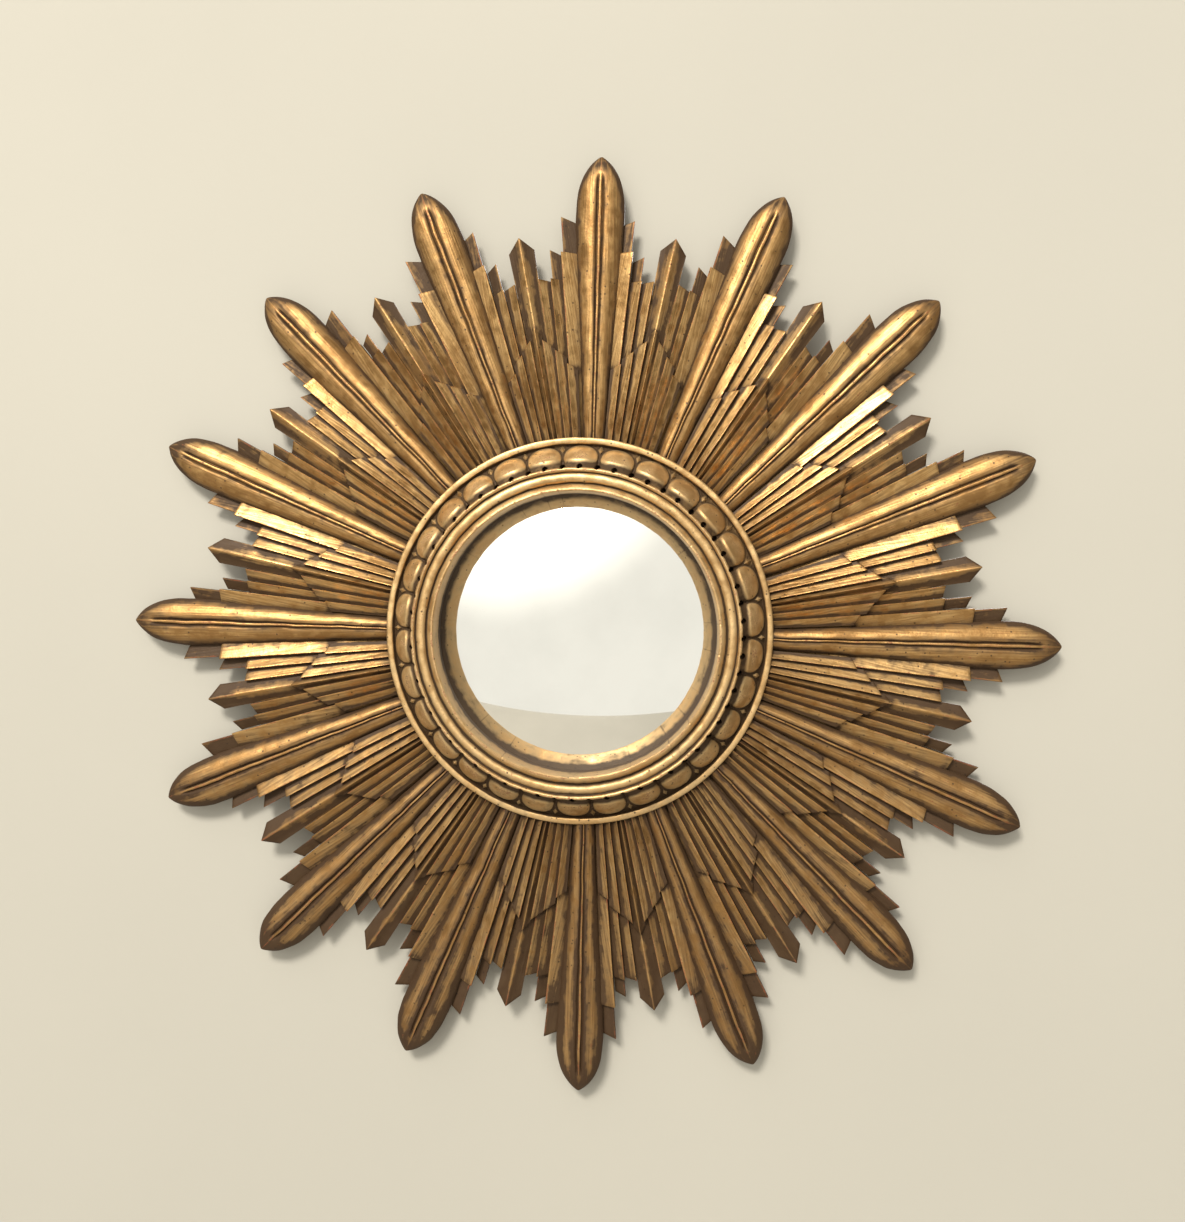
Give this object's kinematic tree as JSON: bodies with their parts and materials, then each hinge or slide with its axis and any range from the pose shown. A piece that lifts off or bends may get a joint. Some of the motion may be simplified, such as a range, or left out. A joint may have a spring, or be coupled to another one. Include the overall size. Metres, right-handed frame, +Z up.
{
  "type": "sunburst convex wall mirror",
  "caption": "Domed mirror in an egg-and-dart moulded ring, on a star of long carved gilt rays with stepped fans of slats between them, made to hang on a wall.",
  "frame": {"origin": "centre of the star of rays, in the plane of the wall, on the back cover's face", "axes": "+Y towards the wall, so the mirror faces -Y; +Z up the wall; +X to the right seen from the front"},
  "size_m": [0.616, 0.0465, 0.621],
  "materials": {
    "gilt_lance": "worn antique gold leaf over red bole",
    "gilt_fan": "worn antique gold leaf, darker in the recesses",
    "gilt_moulding": "burnished antique gold leaf with brown patina",
    "mirror_glass": "silvered convex glass",
    "packing": "bare softwood",
    "hardboard": "brown hardboard",
    "plywood": "stained plywood",
    "plated_steel": "dull plated steel",
    "steel_screw": "plain steel",
    "brass_screw": "aged brass"
  },
  "bodies": {
    "root": {"lance_01": "gilt_lance", "lance_02": "gilt_lance", "lance_03": "gilt_lance", "lance_04": "gilt_lance", "lance_05": "gilt_lance", "lance_06": "gilt_lance", "lance_07": "gilt_lance", "lance_08": "gilt_lance", "lance_09": "gilt_lance", "lance_10": "gilt_lance", "lance_11": "gilt_lance", "lance_12": "gilt_lance", "lance_13": "gilt_lance", "lance_14": "gilt_lance", "lance_15": "gilt_lance", "lance_16": "gilt_lance", "outer_fan_01": "gilt_fan", "outer_fan_02": "gilt_fan", "outer_fan_03": "gilt_fan", "outer_fan_04": "gilt_fan", "outer_fan_05": "gilt_fan", "outer_fan_06": "gilt_fan", "outer_fan_07": "gilt_fan", "outer_fan_08": "gilt_fan", "outer_fan_09": "gilt_fan", "outer_fan_10": "gilt_fan", "outer_fan_11": "gilt_fan", "outer_fan_12": "gilt_fan", "outer_fan_13": "gilt_fan", "outer_fan_14": "gilt_fan", "outer_fan_15": "gilt_fan", "outer_fan_16": "gilt_fan", "inner_fan_01": "gilt_fan", "inner_fan_02": "gilt_fan", "inner_fan_03": "gilt_fan", "inner_fan_04": "gilt_fan", "inner_fan_05": "gilt_fan", "inner_fan_06": "gilt_fan", "inner_fan_07": "gilt_fan", "inner_fan_08": "gilt_fan", "inner_fan_09": "gilt_fan", "inner_fan_10": "gilt_fan", "inner_fan_11": "gilt_fan", "inner_fan_12": "gilt_fan", "inner_fan_13": "gilt_fan", "inner_fan_14": "gilt_fan", "inner_fan_15": "gilt_fan", "inner_fan_16": "gilt_fan", "egg_ring_moulding": "gilt_moulding", "reeded_sight_ring": "gilt_moulding", "convex_mirror": "mirror_glass", "mirror_packing_ring": "packing", "back_cover": "hardboard", "cover_screws": "brass_screw", "backing_board": "plywood", "ring_screws": "steel_screw", "hanger_plate": "plated_steel", "hanger_screws": "brass_screw"}
  },
  "joints": []
}
